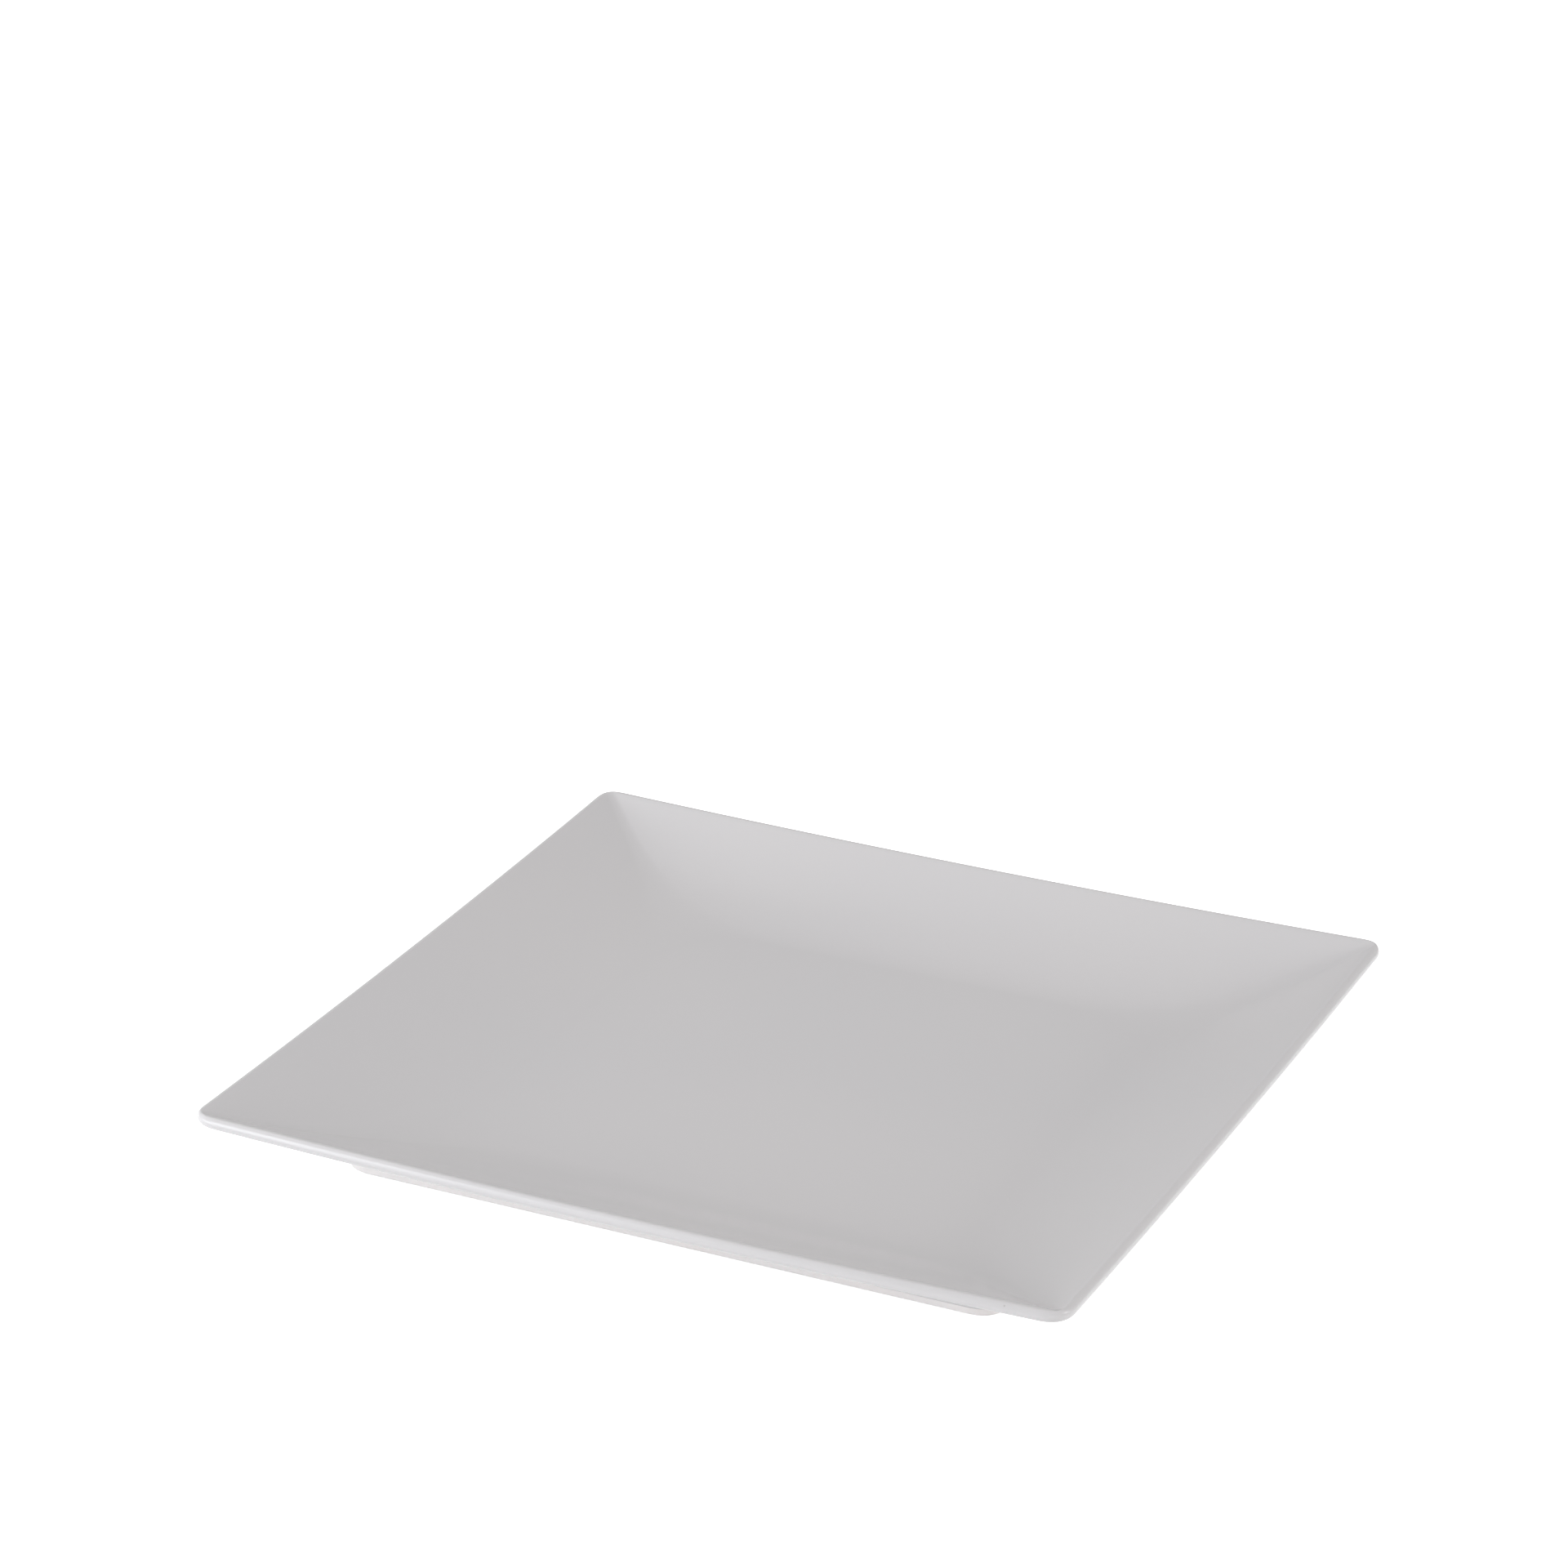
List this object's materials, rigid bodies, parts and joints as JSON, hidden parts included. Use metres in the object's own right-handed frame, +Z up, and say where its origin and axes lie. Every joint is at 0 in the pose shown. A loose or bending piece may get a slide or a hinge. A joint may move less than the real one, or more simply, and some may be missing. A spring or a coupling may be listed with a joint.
{
  "type": "square porcelain plate",
  "caption": "Square white glazed porcelain plate: flat well, curved walls with mitred corners, rounded rim that rises to its corners, and a square foot ring.",
  "frame": {"origin": "middle of the plate, in the plane of the foot ring's bearing face", "axes": "+Z up out of the well, X and Y square to the sides of the rim"},
  "size_m": [0.26, 0.26, 0.0237],
  "materials": {
    "biscuit_porcelain": "matte",
    "white_glaze": "polished"
  },
  "bodies": {
    "root": {"porcelain_body": "biscuit_porcelain", "glaze_coat": "white_glaze", "foot_well_glaze": "white_glaze"}
  },
  "joints": []
}
